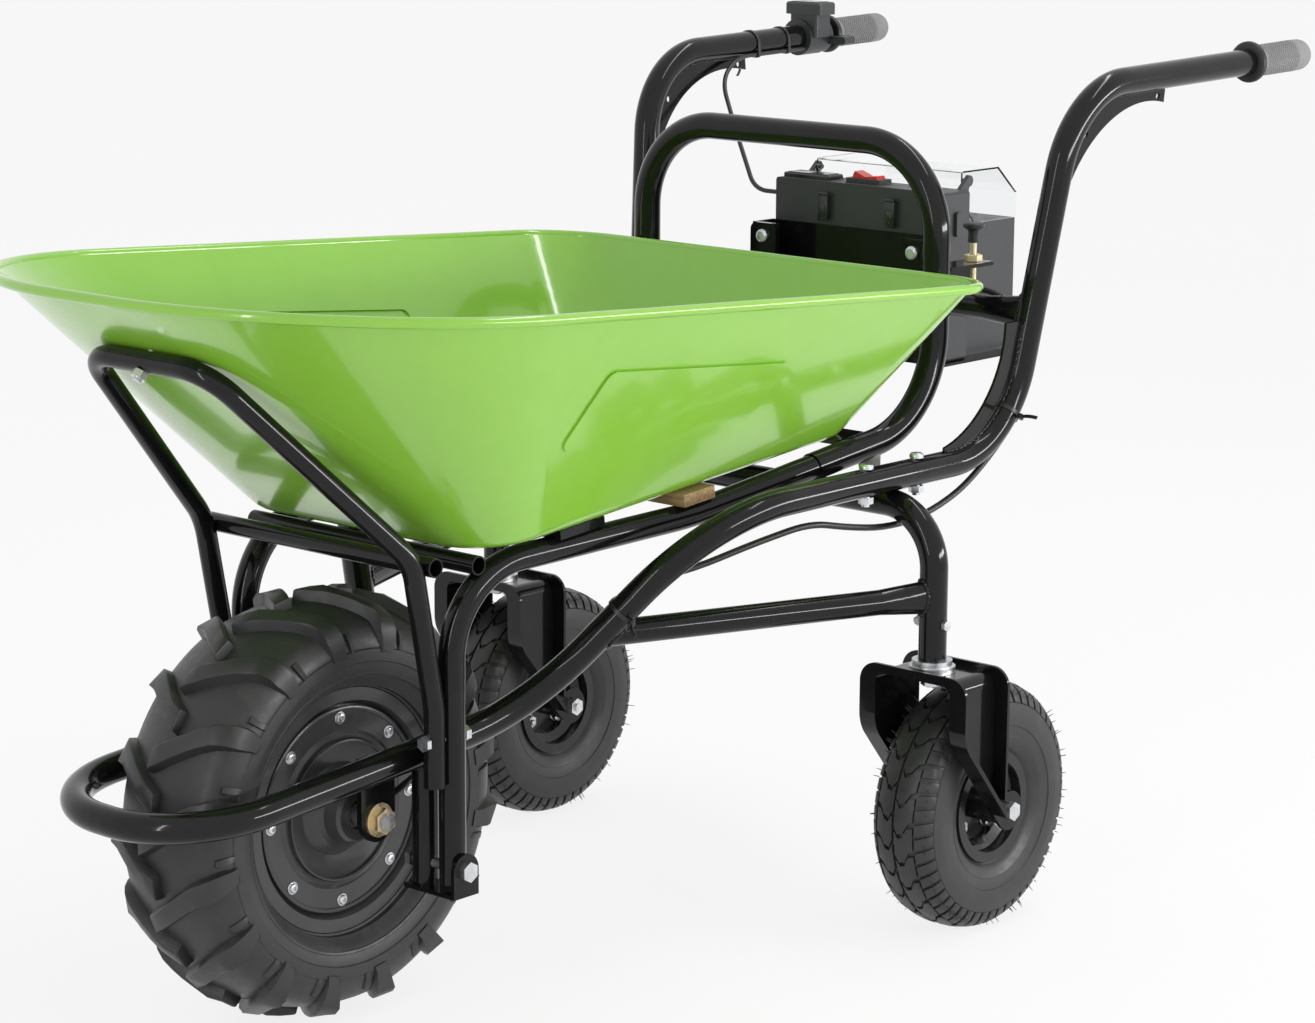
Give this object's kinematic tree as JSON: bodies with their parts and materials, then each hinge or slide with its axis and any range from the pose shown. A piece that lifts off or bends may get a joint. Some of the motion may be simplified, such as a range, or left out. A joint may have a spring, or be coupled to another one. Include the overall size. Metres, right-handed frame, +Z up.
{
  "type": "electric wheelbarrow",
  "caption": "Electric wheelbarrow with a pressed tray that tips forward, a lugged hub-motor front wheel, trailing castors, bent tube frame and a battery box between the handles.",
  "frame": {"origin": "on the ground under the middle of the whole length and width", "axes": "+X forward along travel, +Y to the operator's left, +Z up"},
  "size_m": [1.4643, 0.727, 0.879],
  "materials": {
    "frame_black": "gloss",
    "zinc": "satin",
    "yellow_zinc": "satin",
    "axle_steel": "satin",
    "tray_green": "gloss",
    "hub_black": "painted satin",
    "rim_black": "gloss",
    "tyre": "matte",
    "grip_rubber": "matte",
    "buffer_rubber": "matte",
    "strip_wood": "raw",
    "box_plastic": "textured",
    "display_face": "gloss",
    "rocker_red": "gloss",
    "clear_hood": "clear",
    "lead_black": "matte"
  },
  "bodies": {
    "chassis": {"main_rail": "frame_black", "left_handle": "frame_black", "right_handle": "frame_black", "castor_arch": "frame_black", "post_braces": "frame_black", "handle_crossbar": "frame_black", "handle_gussets": "frame_black", "left_grip": "grip_rubber", "right_grip": "grip_rubber", "rail_joint_bolts": "zinc", "tip_hangers": "frame_black", "pivot_bolts": "zinc", "axle_plates": "frame_black", "wheel_axle": "axle_steel", "axle_nuts": "yellow_zinc", "motor_stator": "axle_steel", "castor_stems": "zinc", "stem_bolts": "zinc", "box_arms": "frame_black", "carrier": "frame_black", "carrier_bolts": "zinc", "control_box": "box_plastic", "display": "display_face", "switch_bezel": "box_plastic", "battery_case": "box_plastic", "throttle_housing": "box_plastic", "motor_lead": "lead_black", "throttle_lead": "lead_black", "cable_ties": "lead_black"},
    "drive_wheel": {"drive_rim": "hub_black", "left_hub_cover": "hub_black", "right_hub_cover": "hub_black", "magnet_ring": "axle_steel", "hub_bearings": "zinc", "cover_screws": "zinc", "drive_tyre": "tyre"},
    "tipping_frame": {"left_tip_rail": "frame_black", "right_tip_rail": "frame_black", "rear_hoop": "frame_black", "front_hoop": "frame_black", "cross_tubes": "frame_black", "tray": "tray_green", "tray_straps": "frame_black", "packing_strip": "strip_wood", "rest_buffers": "buffer_rubber", "tray_bolts": "zinc", "lock_bracket": "frame_black"},
    "lock": {"lock_pin": "yellow_zinc"},
    "left_fork": {"left_castor_fork": "frame_black", "left_castor_axle": "zinc"},
    "right_fork": {"right_castor_fork": "frame_black", "right_castor_axle": "zinc"},
    "left_castor_wheel": {"left_castor_rim": "rim_black", "left_castor_tyre": "tyre"},
    "right_castor_wheel": {"right_castor_rim": "rim_black", "right_castor_tyre": "tyre"},
    "thumb_lever": {"throttle_lever": "box_plastic"},
    "power_switch": {"rocker": "rocker_red"},
    "battery_hood": {"hood": "clear_hood"}
  },
  "joints": [
    {"name": "drive_wheel_spin", "type": "hinge", "parent": "chassis", "child": "drive_wheel", "pos_m": [0.476, 0, 0.203], "axis": [0, 1, 0], "continuous": true},
    {"name": "tray_tip", "type": "hinge", "parent": "chassis", "child": "tipping_frame", "pos_m": [0.429, 0, 0.157], "axis": [0, 1, 0], "range_deg": [0, 55]},
    {"name": "lock_pin_slide", "type": "slide", "parent": "tipping_frame", "child": "lock", "axis": [0, 0, 1], "range_m": [-0.012, 0]},
    {"name": "left_castor_swivel", "type": "hinge", "parent": "chassis", "child": "left_fork", "pos_m": [-0.08, 0.298, 0.27], "axis": [0, 0, 1], "continuous": true},
    {"name": "left_castor_roll", "type": "hinge", "parent": "left_fork", "child": "left_castor_wheel", "pos_m": [-0.148, 0.298, 0.127], "axis": [0, 1, 0], "continuous": true},
    {"name": "right_castor_swivel", "type": "hinge", "parent": "chassis", "child": "right_fork", "pos_m": [-0.08, -0.298, 0.27], "axis": [0, 0, 1], "continuous": true},
    {"name": "right_castor_roll", "type": "hinge", "parent": "right_fork", "child": "right_castor_wheel", "pos_m": [-0.148, -0.298, 0.127], "axis": [0, 1, 0], "continuous": true},
    {"name": "throttle_lever_turn", "type": "hinge", "parent": "chassis", "child": "thumb_lever", "pos_m": [-0.624, -0.289, 0.84], "axis": [-0.9995, -0.0096, 0.0288], "range_deg": [0, 40], "stiffness_Nm_per_rad": 0.08, "springref_deg": -17.19},
    {"name": "power_rocker", "type": "hinge", "parent": "chassis", "child": "power_switch", "pos_m": [-0.35, -0.004, 0.712], "axis": [1, 0, 0], "range_deg": [0, 14]},
    {"name": "hood_hinge", "type": "hinge", "parent": "chassis", "child": "battery_hood", "pos_m": [-0.384, 0, 0.718], "axis": [0, 1, 0], "range_deg": [0, 100]}
  ]
}
